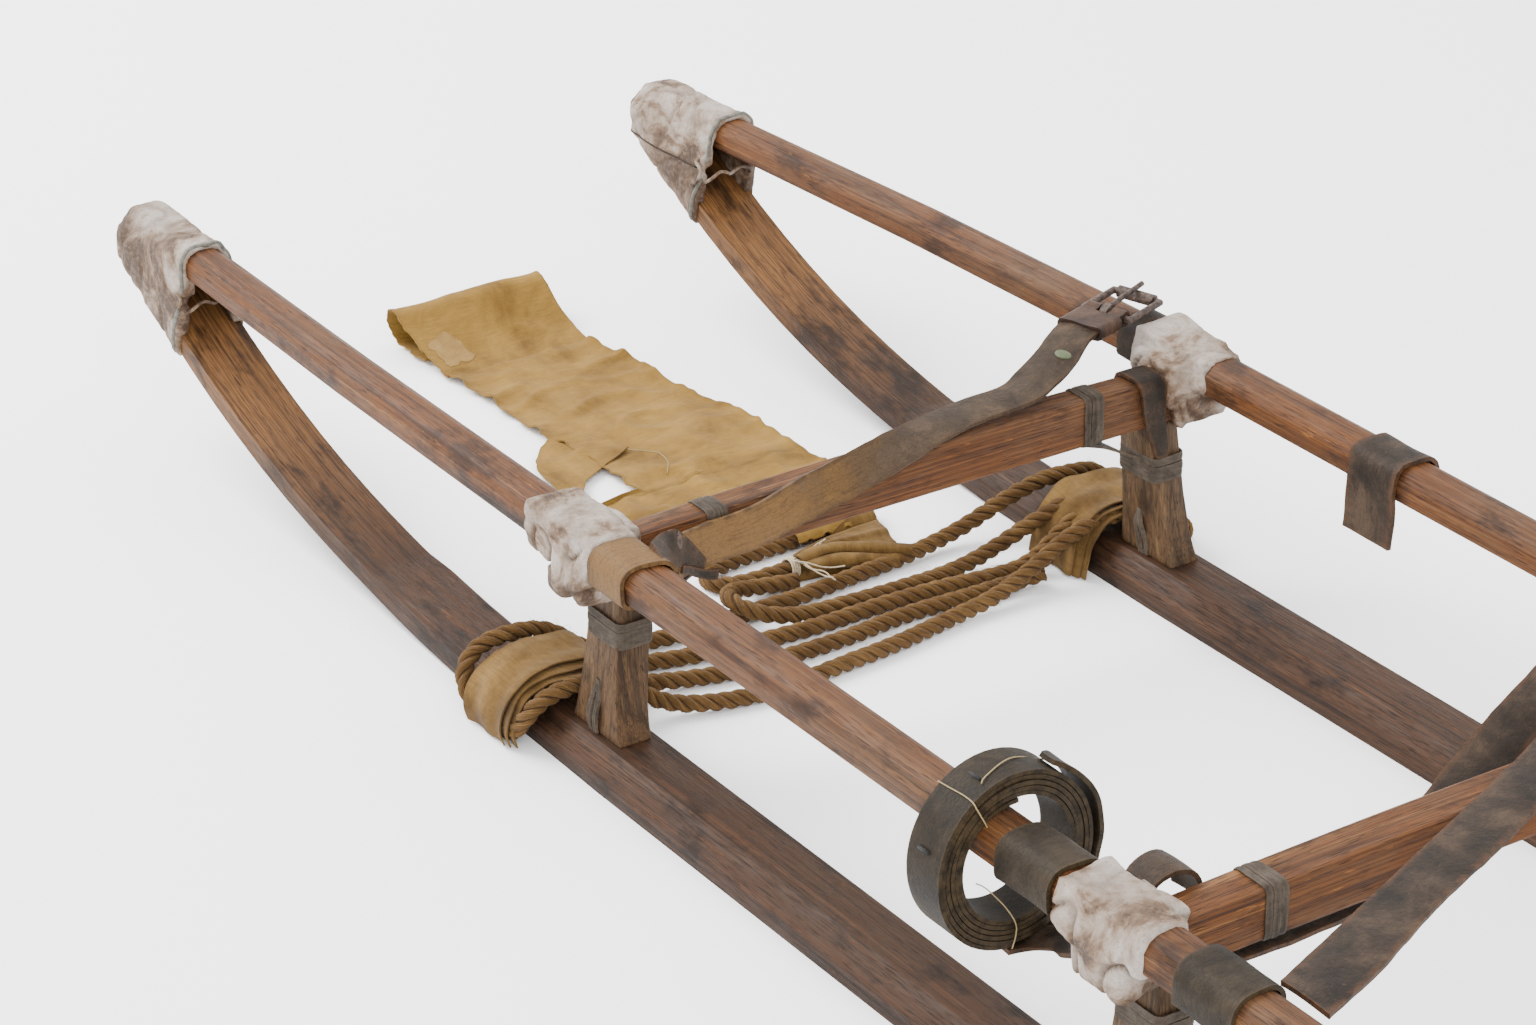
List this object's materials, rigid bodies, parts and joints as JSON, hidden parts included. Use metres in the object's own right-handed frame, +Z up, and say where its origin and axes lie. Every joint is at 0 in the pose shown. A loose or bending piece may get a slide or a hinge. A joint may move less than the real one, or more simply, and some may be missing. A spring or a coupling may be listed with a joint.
{
  "type": "wooden dog sled",
  "caption": "Long wooden dog sled: upturned runners, uprights, cross bridges and side rails lashed with rawhide, with straps, a rope trace and a canvas belt.",
  "frame": {"origin": "on the ground under the middle of the sled, midway between the runners", "axes": "+Y is the way the sled travels, +Z is up, +X is its right side"},
  "size_m": [0.5448, 3.3745, 0.2022],
  "materials": {
    "canvas": "matt",
    "frame_wood": "oiled",
    "iron": "rusted",
    "leather": "worn",
    "rawhide": "matt",
    "rope": "matt",
    "runner_wood": "oiled",
    "thong": "matt",
    "twine": "matt"
  },
  "bodies": {
    "sled": {"belt_becket": "rope", "binding_left_1": "rawhide", "binding_left_2": "rawhide", "binding_left_3": "rawhide", "binding_left_4": "rawhide", "binding_left_5": "rawhide", "binding_right_1": "rawhide", "binding_right_2": "rawhide", "binding_right_3": "rawhide", "binding_right_4": "rawhide", "binding_right_5": "rawhide", "boot_front_left": "rawhide", "boot_front_right": "rawhide", "boot_rear_left": "rawhide", "boot_rear_right": "rawhide", "bridge_1": "frame_wood", "bridge_2": "frame_wood", "bridge_3": "frame_wood", "bridge_4": "frame_wood", "bridge_5": "frame_wood", "bridge_lashings": "thong", "buckle_band": "leather", "buckle_frame": "iron", "canvas_belt": "canvas", "canvas_end": "canvas", "coil_end": "leather", "coil_tail": "leather", "cross_strap_over": "leather", "cross_strap_under": "leather", "end_leather": "leather", "foot_thongs": "thong", "front_strap": "leather", "front_strap_loop": "leather", "front_strap_tab": "leather", "rail_bands": "frame_wood", "rail_left": "frame_wood", "rail_right": "frame_wood", "rope_sleeves": "canvas", "rope_tie": "twine", "runner_left": "runner_wood", "runner_right": "runner_wood", "short_strap": "leather", "strap_coil": "leather", "strap_end_2": "leather", "strap_keeper": "leather", "strut_thongs": "thong", "trace_rope": "rope", "upright_lashings": "thong", "upright_left_1": "frame_wood", "upright_left_2": "frame_wood", "upright_left_3": "frame_wood", "upright_left_4": "frame_wood", "upright_left_5": "frame_wood", "upright_right_1": "frame_wood", "upright_right_2": "frame_wood", "upright_right_3": "frame_wood", "upright_right_4": "frame_wood", "upright_right_5": "frame_wood"},
    "tongue": {"buckle_tongue": "iron"}
  },
  "joints": [
    {"name": "buckle_tongue_hinge", "type": "hinge", "parent": "sled", "child": "tongue", "pos_m": [0.20296, 1.1127, 0.183], "axis": [0.3223, -0.9466, 0], "range_deg": [0, 110]}
  ]
}
